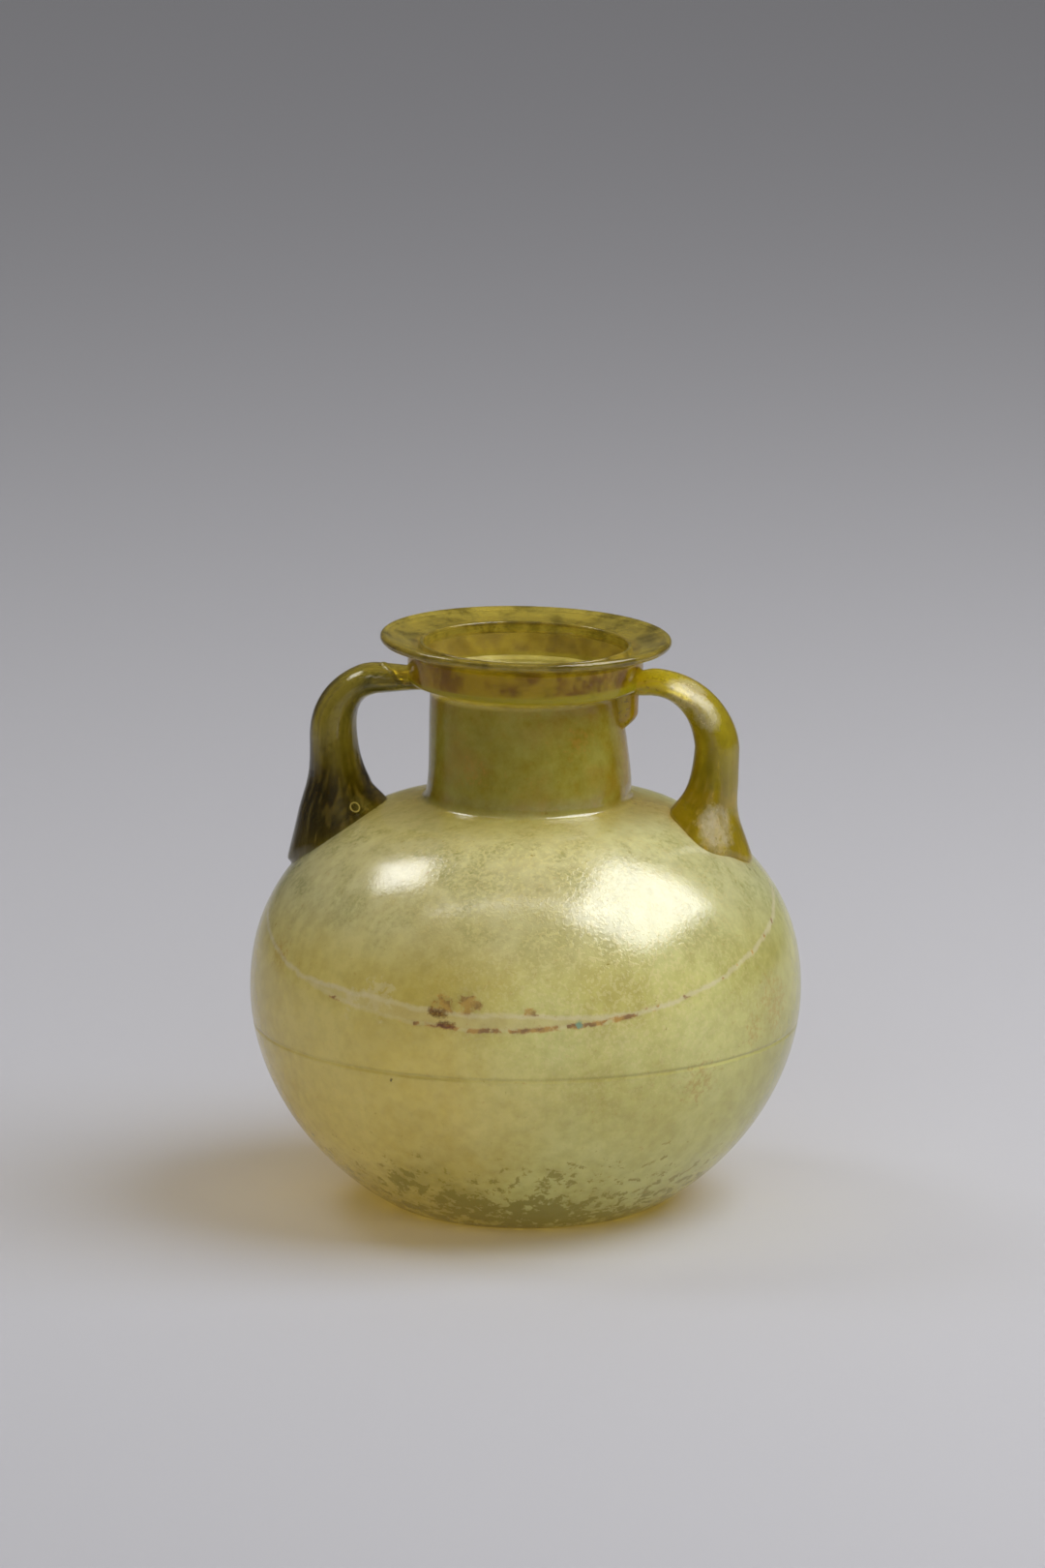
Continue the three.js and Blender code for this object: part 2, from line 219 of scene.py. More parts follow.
def size(name, description, default):
    """One length that a user may change, in metres."""
    return FloatProperty(name=name, description=description, default=default, unit="LENGTH", precision=5)


def tint(name, description, code):
    """One colour that a user may change."""
    return FloatVectorProperty(
        name=name, description=description, default=linear(code), size=4, subtype="COLOR", min=0, max=1
    )


class JarSizes(bpy.types.PropertyGroup):
    """Main sizes of the jar."""

    body_radius: size("Body radius", "Radius at the widest level", 0.057)
    widest_height: size("Widest height", "Height of the widest level", 0.045)
    neck_foot_radius: size("Neck foot radius", "Neck where it leaves the shoulder", 0.0211)
    neck_top_radius: size("Neck top radius", "Neck under the collar", 0.0197)
    cup_radius: size("Cup radius", "Outside of the cup inside the collar", 0.0224)
    cup_top: size("Cup top", "Height that the flange lies at", 0.1151)
    collar_height: size("Collar height", "Height of the folded band", 0.0058)
    rim_radius: size("Rim radius", "Outside of the flange", 0.03)
    right_inset: size("Right handle inset", "From the widest radius in to the stem's middle", 0.0177)
    left_inset: size("Left handle inset", "From the widest radius in to the stem's middle", 0.0164)


class JarColours(bpy.types.PropertyGroup):
    """Colours of the glass, its film and its stains."""

    glass: tint("Clean glass", "The bubble's own yellow-green", "#a0983c")
    inside: tint("Inside", "The bubble's nearly clean inner face", "#ece27c")
    inside_soil: tint("Inside soil", "Brownish soil that clings inside", "#8e7424")
    film: tint("Milky film", "Dried weathering film over the bubble", "#e8dc8a")
    green_film: tint("Greener film", "Film where it is thinner", "#e2e49a")
    # paler on top of the shoulder: partly the thicker film, partly a painted sheen
    shoulder_film_and_sheen: tint("Shoulder film", "The thicker, whiter film of the shoulder", "#e2e6cc")
    dust: tint("Grains", "Pale yellow grains on the film", "#f0e8ac")
    neck: tint("Neck", "The darker, barer neck", "#8a7a12")
    neck_dust: tint("Neck dust", "Tan flecks on the neck", "#a4843a")
    neck_film: tint("Neck film", "Grey-green film in patches on the neck", "#a4a24e")
    crust: tint("Crust", "Flaky crust near the base", "#837a22")
    strip: tint("Clean strip", "Smooth film between the tide lines", "#e4daa6")
    edge: tint("Dried edge", "Pale edge of a tide line", "#efe8c4")
    fleck: tint("Worn flecks", "Grey-green where the film is worn off the shoulder", "#a0a468")
    stain: tint("Stain", "Brown flakes at the tide line", "#80502c")
    rust: tint("Rust", "Orange-brown soil", "#ba8a3c")
    collar: tint("Collar", "Amber of the thick folded band", "#dcc81a")
    collar_soil: tint("Collar soil", "Brownish clouds in the band", "#9c7410")
    collar_edge: tint("Collar edge", "The band's thin yellow lower edge", "#e0dc2c")
    rim: tint("Rim", "Olive of the flange", "#c6b452")
    rim_soil: tint("Rim soil", "Darker streaks of the flange", "#85772c")
    right_handle: tint("Right handle", "Olive-amber trail", "#c0b224")
    left_handle: tint("Left handle", "Dark olive trail", "#ece078")
    floor: tint("Floor", "Pale studio floor", "#b9b8bc")


class JarSettings(bpy.types.PropertyGroup):
    """Everything that the panel shows."""

    sizes: PointerProperty(type=JarSizes)
    colours: PointerProperty(type=JarColours)


def ramp(value, start, end):
    """Goes smoothly from 0 at start to 1 at end."""
    t = np.clip((np.asarray(value, float) - start) / (end - start), 0, 1)
    return t * t * (3 - 2 * t)


def bezier(points, count):
    """Points along a Bezier curve through its first and last point."""
    t = np.linspace(0, 1, count + 1)[:, None]
    level = [np.asarray(p, float)[None, :] * np.ones_like(t) for p in points]
    while len(level) > 1:
        level = [a * (1 - t) + b * t for a, b in zip(level, level[1:])]
    return level[0]


def neck_height(sizes):
    """Height where the neck starts to flare into the cup."""
    return sizes.cup_top - CUP_HEIGHT


def bowl_radius(sizes, height):
    """Radius of the bowl at a height under the widest level."""
    share = np.clip((sizes.widest_height - np.asarray(height, float)) / BOWL_DEPTH, 0, 1)
    return sizes.body_radius * (1 - share**BOWL_POWER) ** (1 / BOWL_POWER)


def shoulder_height(sizes, radius):
    """Height of the shoulder's outer face at a radius."""
    share = np.clip(np.asarray(radius, float) / sizes.body_radius, 0, 1)
    return sizes.widest_height + SHOULDER_RISE * (1 - share**SHOULDER_POWER) ** (1 / SHOULDER_POWER)


def outer_wall(sizes):
    """Points (radius, height) up the outer face, from the resting ring to the lip of the cup."""
    heel = bezier(
        [
            (REST_OUTER_RADIUS, 0),
            (bowl_radius(sizes, 0), 0),
            (bowl_radius(sizes, HEEL_HEIGHT), HEEL_HEIGHT),
        ],
        10,
    )
    bowl_low = HEEL_HEIGHT + (LINE_HEIGHT - LINE_WIDTH / 2 - HEEL_HEIGHT) * np.linspace(0, 1, 41) ** 1.5
    groove = LINE_HEIGHT + LINE_WIDTH * np.linspace(-0.4, 0.4, 9)
    groove_depth = LINE_DEPTH * np.cos(np.linspace(-0.5, 0.5, 9) * math.pi) ** 2
    bowl_high = np.linspace(LINE_HEIGHT + LINE_WIDTH / 2, sizes.widest_height, 9)
    fillet_radius = sizes.neck_foot_radius + NECK_FILLET
    turn = math.acos((fillet_radius / sizes.body_radius) ** (SHOULDER_POWER / 2))
    shoulder = sizes.body_radius * np.cos(turn * np.linspace(0, 1, 49)[1:]) ** (2 / SHOULDER_POWER)
    dip = SHOULDER_DIP * ramp(shoulder, fillet_radius + DIP_REACH, fillet_radius)
    start = np.array([fillet_radius, float(shoulder_height(sizes, fillet_radius))])
    slope = np.array([-0.001, float(shoulder_height(sizes, fillet_radius - 0.001)) - start[1]])
    slope /= np.linalg.norm(slope)
    start[1] -= SHOULDER_DIP
    low_run = NECK_FILLET * 0.6
    high_run = NECK_FILLET * 0.95
    foot = np.array([sizes.neck_foot_radius, start[1] + NECK_FILLET])
    fillet = bezier([start, start + slope * low_run, foot - (0, high_run), foot], 16)
    neck = np.linspace(foot, (sizes.neck_top_radius, neck_height(sizes)), 13)
    flare = bezier(
        [
            (sizes.neck_top_radius, neck_height(sizes)),
            (sizes.neck_top_radius, neck_height(sizes) + FLARE_HEIGHT * 0.7),
            (sizes.cup_radius, neck_height(sizes) + FLARE_HEIGHT * 0.4),
            (sizes.cup_radius, neck_height(sizes) + FLARE_HEIGHT),
        ],
        10,
    )
    return np.concatenate(
        [
            heel,
            np.column_stack([bowl_radius(sizes, bowl_low), bowl_low])[1:],
            np.column_stack([bowl_radius(sizes, groove) - groove_depth, groove]),
            np.column_stack([bowl_radius(sizes, bowl_high), bowl_high]),
            np.column_stack([shoulder, shoulder_height(sizes, shoulder) - dip]),
            fillet[1:],
            neck[1:],
            flare[1:],
            [(sizes.cup_radius, sizes.cup_top)],
        ]
    )


def wall_at(sizes, height):
    """Thickness of the bubble at a height."""
    base = BASE_WALL + (BODY_WALL - BASE_WALL) * ramp(height, 0, sizes.widest_height / 2)
    neck = base + (NECK_WALL - BODY_WALL) * ramp(height, sizes.widest_height, neck_height(sizes))
    return neck + (CUP_WALL - NECK_WALL) * ramp(height, neck_height(sizes), neck_height(sizes) + FLARE_HEIGHT)


def offset_line(line, distance):
    """The same line moved towards the jar's inside."""
    along = np.gradient(line, axis=0)
    along /= np.linalg.norm(along, axis=1)[:, None]
    distance = np.broadcast_to(distance, len(line))
    return line + np.column_stack([-along[:, 1] * distance, along[:, 0] * distance])


def lean(points, sizes):
    """Gives points above the shoulder the jar's hand-made lean and the neck its shift."""
    cup_top = sizes.cup_top
    x, y, z = np.asarray(points, float).T
    angle = LEAN * ramp(z, LEAN_START, neck_height(sizes))
    shift = ramp(z, SHIFT_START, SHIFT_FULL) * (1 - ramp(z, SHIFT_FULL, cup_top))
    below = z - cup_top
    return np.column_stack(
        [
            x * np.cos(angle) + below * np.sin(angle) + NECK_SHIFT * shift,
            y,
            below * np.cos(angle) - x * np.sin(angle) + cup_top,
        ]
    )


def ring_faces(count, around, closed):
    """Faces between neighbouring rings, and from the last ring to the first if closed."""
    faces = []
    for i in range(count if closed else count - 1):
        low = i * around
        high = (i + 1) % count * around
        for j in range(around):
            k = (j + 1) % around
            faces.append((low + j, low + k, high + k, high + j))
    return faces


def turned(profile):
    """Vertices and faces of a profile (radius, height) turned round the axis. Its first and last
    point meet, or both lie on the axis."""
    on_axis = profile[0][0] < 1e-9 and profile[-1][0] < 1e-9
    rings = profile[1:-1] if on_axis else profile[:-1]
    angles = np.linspace(0, 2 * math.pi, SEGMENTS, endpoint=False)
    radii, heights = np.asarray(rings).T
    grid = np.stack(
        [
            radii[:, None] * np.cos(angles),
            radii[:, None] * np.sin(angles),
            np.repeat(heights[:, None], SEGMENTS, 1),
        ],
        -1,
    )
    vertices = grid.reshape(-1, 3)
    count = len(rings)
    faces = ring_faces(count, SEGMENTS, closed=not on_axis)
    if on_axis:
        ends = [(0, 0, profile[0][1]), (0, 0, profile[-1][1])]
        first = len(vertices)
        vertices = np.concatenate([vertices, ends])
        for j in range(SEGMENTS):
            k = (j + 1) % SEGMENTS
            top = (count - 1) * SEGMENTS
            faces.append((j, k, first))
            faces.append((top + j, top + k, first + 1))
    return vertices, faces


def lofted(rings):
    """Vertices and faces of a closed body through equally divided rings."""
    rings = np.asarray(rings)
    count, around = rings.shape[:2]
    faces = ring_faces(count, around, closed=False)
    faces.append(tuple(range(around)))
    faces.append(tuple((count - 1) * around + j for j in range(around)))
    return rings.reshape(-1, 3), faces


def new_object(name, vertices, faces):
    """A mesh object with outward normals, linked to the scene."""
    mesh = bpy.data.meshes.new(name)
    mesh.from_pydata(np.asarray(vertices).tolist(), [], faces)
    work = bmesh.new()
    work.from_mesh(mesh)
    bmesh.ops.recalc_face_normals(work, faces=work.faces)
    work.to_mesh(mesh)
    work.free()
    made = bpy.data.objects.new(name, mesh)
    bpy.context.scene.collection.objects.link(made)
    return made


def finish_piece(piece, node, material):
    """Smooths a piece, gives it its glass and puts it in the place of its solid."""
    piece.data.shade_smooth()
    piece.data.set_sharp_from_angle(angle=SHARP_ANGLE)
    piece.data.materials.clear()
    piece.data.materials.append(material)
    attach(piece, "root")
    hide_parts(node)


def blown_body(sizes):
    """The bubble: outer face with the wheel-cut line, inner face and kicked base, as one skin."""
    wall = outer_wall(sizes)
    smooth = wall[(np.abs(wall[:, 1] - LINE_HEIGHT) > LINE_WIDTH * 0.45)]
    inside = offset_line(smooth, wall_at(sizes, smooth[:, 1]))
    inside = inside[(inside[:, 1] > BASE_WALL) & (inside[:, 1] < sizes.cup_top - CUP_WALL)][::-1]
    floor = bezier([inside[-1], (inside[-1][0] * 0.72, BASE_WALL), (0, KICK_HEIGHT + BASE_WALL)], 14)
    kick = bezier([(0, KICK_HEIGHT), (REST_INNER_RADIUS * 0.5, KICK_HEIGHT), (REST_INNER_RADIUS, 0)], 12)
    lip = [(sizes.cup_radius - CUP_WALL, sizes.cup_top)]
    vertices, faces = turned(np.concatenate([kick, wall, lip, inside, floor[1:]]))
    inner = np.arange(len(vertices)) >= (len(kick) + len(wall) - 1) * SEGMENTS
    inner[-2] = False  # the middle of the kick, which is outside
    return vertices, faces, inner


def arc(x, y, radius, start, end, count):
    """Points on an arc of a profile, between two angles in degrees."""
    angles = np.radians(np.linspace(start, end, count + 1))
    return np.column_stack([x + radius * np.cos(angles), y + radius * np.sin(angles)])


def folded_collar(sizes):
    """The band of glass folded down outside the cup, rounded at its lower edge."""
    inner = sizes.cup_radius - WELD
    outer = inner + COLLAR_WALL + LAYER_GAP
    top = sizes.cup_top + WELD
    low = sizes.cup_top - sizes.collar_height + COLLAR_EDGE_ROUND
    return turned(
        np.concatenate(
            [
                [(inner, top)],
                arc(inner + COLLAR_EDGE_ROUND, low, COLLAR_EDGE_ROUND, 180, 270, 8),
                arc(outer - COLLAR_EDGE_ROUND, low, COLLAR_EDGE_ROUND, 270, 360, 8),
                np.linspace((outer, low), (outer, top), 6)[1:],
                [(inner, top)],
            ]
        )
    )


def flanged_rim(sizes):
    """The dished flange with its rolled edge, and the small ridge round the mouth."""
    under = sizes.cup_top
    mouth = sizes.cup_radius - CUP_WALL
    mouth_top = sizes.cup_top + LAYER_GAP + RIM_THICKNESS
    edge_radius = sizes.rim_radius - RIM_EDGE_ROUND
    edge_height = mouth_top + RIM_DISH - RIM_EDGE_ROUND
    collar_radius = sizes.cup_radius + COLLAR_WALL
    dish = bezier(
        [
            arc(edge_radius, edge_height, RIM_EDGE_ROUND, 105, 106, 1)[0],
            (edge_radius - 0.0016, edge_height + 0.0001),
            (mouth + RIDGE_ROUND * 6, mouth_top + RIM_DISH * 0.2),
            (mouth + RIDGE_ROUND * 2.6, mouth_top),
        ],
        14,
    )
    ridge = mouth_top + RIDGE_RISE
    return turned(
        np.concatenate(
            [
                [(mouth, under), (collar_radius, under)],
                arc(edge_radius, edge_height, RIM_EDGE_ROUND, -105, 105, 24),
                dish[1:],
                arc(mouth + RIDGE_ROUND, ridge, RIDGE_ROUND, 0, 180, 12),
                [(mouth, under)],
            ]
        )
    )


def keep_out(sizes):
    """The jar filled up to the fused face of a handle, for cutting the handles' feet and arms."""
    grown = offset_line(outer_wall(sizes), WELD)
    collar_edge = sizes.cup_top - sizes.collar_height + WELD
    radius = sizes.cup_radius + COLLAR_WALL + LAYER_GAP - 2 * WELD
    top = sizes.cup_top + sizes.rim_radius
    low = grown[(grown[:, 1] > 0.0001) & (grown[:, 1] < collar_edge)]
    profile = [(0, -0.001), *low, (radius - COLLAR_EDGE_ROUND, collar_edge)]
    profile += [(radius, collar_edge + COLLAR_EDGE_ROUND), (radius, top), (0, top)]
    return turned(np.array(profile))


def handle_path(sizes, handle, reach):
    """Dense points (radius, height) along a handle's middle, from under its foot to the neck."""
    collar_bottom = sizes.cup_top - sizes.collar_height
    foot_reach = reach + handle["splay"]
    foot_height = float(shoulder_height(sizes, foot_reach))
    bend_width = handle["bend_share"] * (reach - sizes.cup_radius - LAYER_GAP - COLLAR_WALL)
    arm_end = (sizes.neck_top_radius + 0.001, collar_bottom + handle["arm_rise_at_collar"])
    bend_end = (reach - bend_width, collar_bottom + handle["arm_rise_at_bend"])
    bend_start = (reach, bend_end[1] - handle["bend_height"])
    bend = bezier(
        [
            bend_start,
            (bend_start[0], bend_start[1] + handle["bend_height"] * BEND_ROUNDNESS),
            (bend_end[0] + bend_width * BEND_ROUNDNESS, bend_end[1]),
            bend_end,
        ],
        200,
    )
    stem = np.linspace((foot_reach, foot_height - FOOT_SINK), bend_start, 101)
    arm = np.linspace(bend_end, arm_end, 51)
    return np.concatenate([stem[:-1], bend, arm[1:]])


def handle_rings(sizes, handle, reach):
    """Rings of the lobed section along a handle, and each ring point in the straightened trail:
    out, side and along, in metres."""
    path = handle_path(sizes, handle, reach)
    lengths = np.concatenate([[0], np.cumsum(np.linalg.norm(np.diff(path, axis=0), axis=1))])
    foot_height = float(shoulder_height(sizes, reach + handle["splay"]))
    angle = np.linspace(0, 2 * math.pi, HANDLE_POINTS, endpoint=False)
    rings = []
    straight = []
    for u in np.linspace(0, 1, HANDLE_RINGS + 1) ** HANDLE_SPACING:
        at = u * lengths[-1]
        centre = np.array([np.interp(at, lengths, path[:, k]) for k in (0, 1)])
        ahead = np.array([np.interp(at + PATH_STEP, lengths, path[:, k]) for k in (0, 1)])
        behind = np.array([np.interp(at - PATH_STEP, lengths, path[:, k]) for k in (0, 1)])
        along = (ahead - behind) / np.linalg.norm(ahead - behind)
        rise = max(0, centre[1] - foot_height)
        to_arm = float(ramp(u, handle["narrow_from"], handle["narrow_to"]))
        pinch = 1 - handle["pinch"] * float(ramp(u, handle["narrow_to"], 1))
        half = pinch * (handle["stem_depth"] + (handle["arm_depth"] - handle["stem_depth"]) * to_arm) / 2
        toe = half + handle["toe"] * math.exp(-((rise / handle["toe_height"]) ** handle["toe_power"]))
        heel_fade = 1 - float(ramp(rise, *HEEL_FADE))
        heel = half + handle["heel"] * math.exp(-rise / handle["heel_height"]) * heel_fade
        stem_width = STEM_WIDTH + (ARM_WIDTH - STEM_WIDTH) * to_arm
        spread = math.exp(-((rise / handle["spread_height"]) ** SPREAD_POWER))
        width = stem_width + (FOOT_WIDTH - stem_width) * spread
        ribs = RIB_DEPTH_ARM + (RIB_DEPTH_FOOT - RIB_DEPTH_ARM) * (1 - u) ** 2
        curl = 1 - FOOT_CURL * float(1 - ramp(rise, 0, FOOT_ROUND))
        slope = 1 - float(ramp(rise, 0, FOOT_SETTLE))
        uneven = UNEVEN_OVAL * np.sin(2 * angle + 0.7)
        uneven = uneven + UNEVEN_CORNERS * np.sin(3 * angle + CORNERS_TURN * u)
        lobe = 1 - ribs * np.cos(handle["lobes"] * (angle - handle["valley"])) + uneven
        out = np.where(np.cos(angle) > 0, toe * curl, heel) * lobe * np.cos(angle)
        side = width / 2 * lobe * np.sin(angle)
        radius = centre[0] + out * along[1]
        height = centre[1] - out * along[0]
        fall = shoulder_height(sizes, np.hypot(radius, side)) - foot_height
        rings.append(np.column_stack([radius, side, height + fall * slope]))
        straight.append(np.column_stack([out, side, np.full(HANDLE_POINTS, at)]))
    return np.array(rings), np.array(straight)


def folded_tail(sizes):
    """The right trail's surplus: a flat tongue folded down on the neck."""
    collar_bottom = sizes.cup_top - sizes.collar_height
    angle = -np.linspace(0, 2 * math.pi, 48, endpoint=False)
    rings = []
    for u in np.sin(np.linspace(0, math.pi / 2, 31)):
        into_end = max(0, u - 1 + TAIL_END) / TAIL_END
        # a little over 1, so that the tip stays blunt
        taper = math.sqrt(1.02 - into_end**2) * (1 - TAIL_TAPER * u)
        out = sizes.neck_top_radius + LAYER_GAP + TAIL_DEPTH * taper * np.cos(angle)
        slant = 1 + TAIL_SLANT * (0.6 * np.sin(-angle) - np.cos(angle))
        height = collar_bottom + TAIL_START - u * (TAIL_LENGTH + TAIL_START) * slant
        rings.append(np.column_stack([out, TAIL_WIDTH / 2 * taper * np.sin(angle), height]))
    return lofted(rings)


def folded_roll(sizes):
    """The left trail's surplus: a short round roll laid slantwise across the arm."""
    arm_middle = sizes.cup_top - sizes.collar_height + LEFT_HANDLE["arm_rise_at_collar"]
    arm_top = arm_middle + LEFT_HANDLE["arm_depth"] / 2
    collar_radius = sizes.cup_radius + LAYER_GAP + COLLAR_WALL
    start = Vector((collar_radius + ROLL_REACH, 0.001, arm_top - ROLL_RADIUS))
    end = Vector((collar_radius + ROLL_RADIUS, ARM_WIDTH * 0.42, arm_middle))
    along = (end - start).normalized()
    across = along.cross(Vector((0, 0, 1))).normalized()
    up = across.cross(along)
    angle = np.linspace(0, 2 * math.pi, 32, endpoint=False)
    rings = []
    # a little short of the poles, so that no ring closes to a point
    for turn in np.linspace(-math.pi / 2 + 0.05, math.pi / 2 - 0.05, 25):
        centre = (start if turn < 0 else end) + along * math.sin(turn) * ROLL_RADIUS
        radius = math.cos(turn) * ROLL_RADIUS
        rings.append([centre + (across * math.cos(a) + up * math.sin(a)) * radius for a in angle])
    return lofted(np.array(rings))


def fused(name, trail, surplus, jar):
    """A trail with its surplus end welded on and the jar's outside cut out of it."""
    made = new_object(name, *trail)
    helpers = [new_object("surplus", *surplus), new_object("jar", *jar)]
    for helper, operation in zip(helpers, ("UNION", "DIFFERENCE")):
        boolean = made.modifiers.new(operation.title(), "BOOLEAN")
        boolean.operation = operation
        boolean.object = helper
        boolean.solver = "EXACT"
    shown = made.evaluated_get(bpy.context.evaluated_depsgraph_get())
    mesh = bpy.data.meshes.new_from_object(shown)
    made.modifiers.clear()
    made.data = mesh
    for helper in helpers:
        bpy.data.objects.remove(helper)
    return made


def trail_handle(name, sizes, handle, reach, surplus):
    """A handle drawn up from its splayed foot, with the straightened trail kept as an attribute."""
    rings, straight = handle_rings(sizes, handle, reach)
    piece = fused(name, lofted(rings), surplus, keep_out(sizes))
    tree = KDTree(rings.shape[0] * rings.shape[1])
    for i, p in enumerate(rings.reshape(-1, 3)):
        tree.insert(p, i)
    tree.balance()
    flat = straight.reshape(-1, 3)
    points = np.array([v.co for v in piece.data.vertices])
    trail = np.array([flat[tree.find(p)[1]] for p in points])
    attribute = piece.data.attributes.new("trail", "FLOAT_VECTOR", "POINT")
    attribute.data.foreach_set("vector", trail.astype(np.float32).ravel())
    c, s = math.cos(handle["azimuth"]), math.sin(handle["azimuth"])
    turned_points = points @ np.array([[c, s, 0], [-s, c, 0], [0, 0, 1]])
    move_points(piece, lean(turned_points, sizes))
    return piece


def move_points(piece, points):
    """Puts a piece's vertices at new places."""
    piece.data.vertices.foreach_set("co", np.asarray(points, np.float32).ravel())
    piece.data.update()


def leaned(name, shape, sizes):
    """A turned piece with the jar's lean."""
    vertices, faces = shape
    return new_object(name, lean(vertices, sizes), faces)


def add_node(tree, kind, inputs=(), **settings):
    """Adds a node, sets its properties, and sets or links its inputs, given in order or by name or
    number. A node given as an input stands for its first output in use. A range node's inputs in
    order are the value, the two ends it lies between, and the two that they become."""
    made = tree.nodes.new(kind)
    for key, value in settings.items():
        setattr(made, key, value)
    for key, value in inputs.items() if isinstance(inputs, dict) else enumerate(inputs):
        if isinstance(value, bpy.types.Node):
            value = next(output for output in value.outputs if output.enabled)
        if isinstance(value, bpy.types.NodeSocket):
            tree.links.new(value, made.inputs[key])
        else:
            made.inputs[key].default_value = value
    return made


def empty_material(name):
    """A material with an empty node tree."""
    made = bpy.data.materials.new(name)
    made.use_nodes = True
    made.node_tree.nodes.clear()
    return made, made.node_tree


def glass_output(tree, inside, surface, rough, index, gloss, clear, bump):
    """Joins the looks of a glass. Inside holds the tint that lamps get when they shine through it,
    the tint of the light within it, and how dense that tint is."""
    through, absorbed, density = inside
    shader = add_node(
        tree,
        PRINCIPLED,
        {
            "Base Color": surface,
            "Roughness": rough,
            "IOR": index,
            "Specular IOR Level": gloss,
            "Transmission Weight": clear,
            "Normal": bump,
        },
    )
    path = add_node(tree, "ShaderNodeLightPath")
    shone = add_node(tree, "ShaderNodeBsdfTransparent", {"Color": linear(through)})
    either = add_node(tree, "ShaderNodeMixShader", {0: path.outputs["Is Shadow Ray"], 1: shader, 2: shone})
    volume = add_node(tree, "ShaderNodeVolumeAbsorption", {"Color": linear(absorbed), "Density": density})
    add_node(tree, "ShaderNodeOutputMaterial", {"Surface": either, "Volume": volume})


def coated(tree, colour, coats):
    """A colour under coats, each a share and a tone that lies over the ones before it."""
    for share, tone in coats:
        colour = add_node(tree, MIX, {0: share, 6: colour, 7: tone}, data_type="RGBA")
    return colour


def near_points(tree, place, points):
    """1 at the middle of each spot, given as a place and a radius, and 0 outside them all."""
    total = 0
    for centre, radius in points:
        far = add_node(tree, VECTOR, (place, centre), operation="DISTANCE")
        near = add_node(tree, RANGE, (far, 0, radius, 1, 0))
        total = add_node(tree, MATHS, (near, total), operation="MAXIMUM")
    return total


def near_patches(tree, place, noise, spots, fade, lift, edge, share):
    """Patches of a noise, which grows in where it passes from the first to the second value of
    edge. Lift is added to it before: its first value away from the spots, its second near them."""
    near = add_node(tree, RANGE, (near_points(tree, place, spots), 0, fade, *lift))
    lifted = add_node(tree, MATHS, (near, noise), operation="ADD")
    return add_node(tree, RANGE, (lifted, *edge, 0, share))


# Soil specks on the jar, each a place in metres and how far it spreads
SPECKS = (
    ((0.0408, -0.0378, 0.0352), 0.0075),
    ((0.0539, -0.0182, 0.0477), 0.009),
    ((0.0512, -0.0262, 0.0432), 0.005),
    ((-0.0464, -0.0302, 0.0574), 0.006),
    ((-0.009, -0.0195, 0.094), 0.005),
    ((0.014, -0.016, 0.1), 0.005),
    ((-0.026, 0.047, 0.052), 0.009),
    ((0.034, 0.041, 0.03), 0.007),
)
# Brown blotches over the upper tide line
BLOTCHES = (
    ((-0.0095, -0.055, 0.0535), 0.0042),
    ((-0.0035, -0.0556, 0.0541), 0.0042),
    ((0.0085, -0.0556, 0.0524), 0.0026),
)
# Pale flakes over the left end of the tide line
PALE_FLAKES = (((-0.0231, -0.0512, 0.054), 0.009), ((-0.0285, -0.0485, 0.052), 0.006))
# Single marks, each a place with its radius, and a colour: a dark speck, an iridescent fleck, and
# a dark dash on each tide line
MARKS = (
    (((-0.0202, -0.0524, 0.0371), 0.0005), "#2c2412"),
    (((0.0185, -0.0535, 0.0503), 0.0011), "#7ab09a"),
    (((-0.0113, -0.0549, 0.0523), 0.0015), "#6a3c20"),
    (((-0.0101, -0.0551, 0.0521), 0.0015), "#5a3018"),
    (((-0.0089, -0.0553, 0.052), 0.0014), "#6e4424"),
    (((-0.0095, -0.056, 0.05), 0.0012), "#5e2c2c"),
    (((-0.0083, -0.0562, 0.0499), 0.0013), "#5e2c2c"),
    (((-0.0071, -0.0563, 0.0498), 0.0011), "#7a4428"),
)
# Places near the base where the crust is thicker
CRUSTED = (
    ((0.0074, -0.0362, 0.0063), 0.011),
    ((-0.019, -0.039, 0.0126), 0.007),
    ((0.0135, -0.0445, 0.0185), 0.004),
    ((-0.006, -0.038, 0.0085), 0.008),
)
# The stretch of the first tide line that brown flakes lie on
FLAKED_STRETCH = (((0.008, -0.056, 0.0497), 0.03),)
# The tide lines: their tilted plane, how high it lies, and how far the second line runs over the first
TIDE_NORMAL = (0.005, -0.297, 1)
TIDE_HEIGHT = 0.066
TIDE_RISE = 0.003
# Where the film is grainy: between the two sheens of the shoulder
GRAINY = (((0.0256, -0.046, 0.0635), 0.046), ((0.004, -0.037, 0.077), 0.034))
# Frosted places of the two handles, which on the right one also paint highlights on its bend and foot, and
# the burst bubble in the left one's foot
RIGHT_FROST_AND_HIGHLIGHT = (
    ((0.0345, -0.004, 0.109), 0.008),
    ((0.0385, -0.006, 0.105), 0.007),
    ((0.0409, -0.0078, 0.0818), 0.0088),
)
LEFT_FROST = (((-0.03, 0, 0.114), 0.002),)
LEFT_BUBBLE = (-0.0344, -0.0076, 0.0834)
BUBBLE_RADIUS = 0.001
# A place outside the glass, so that no bubble shows
NO_BUBBLE = (0, 0, 0)
# Heights over the collar's lower edge that its yellow rim fades between
YELLOW_FADE = (0.0014, 0.0018)
# A fade that lies under the whole mouth, so that no edge shows
NO_EDGE = (0, 0.001)


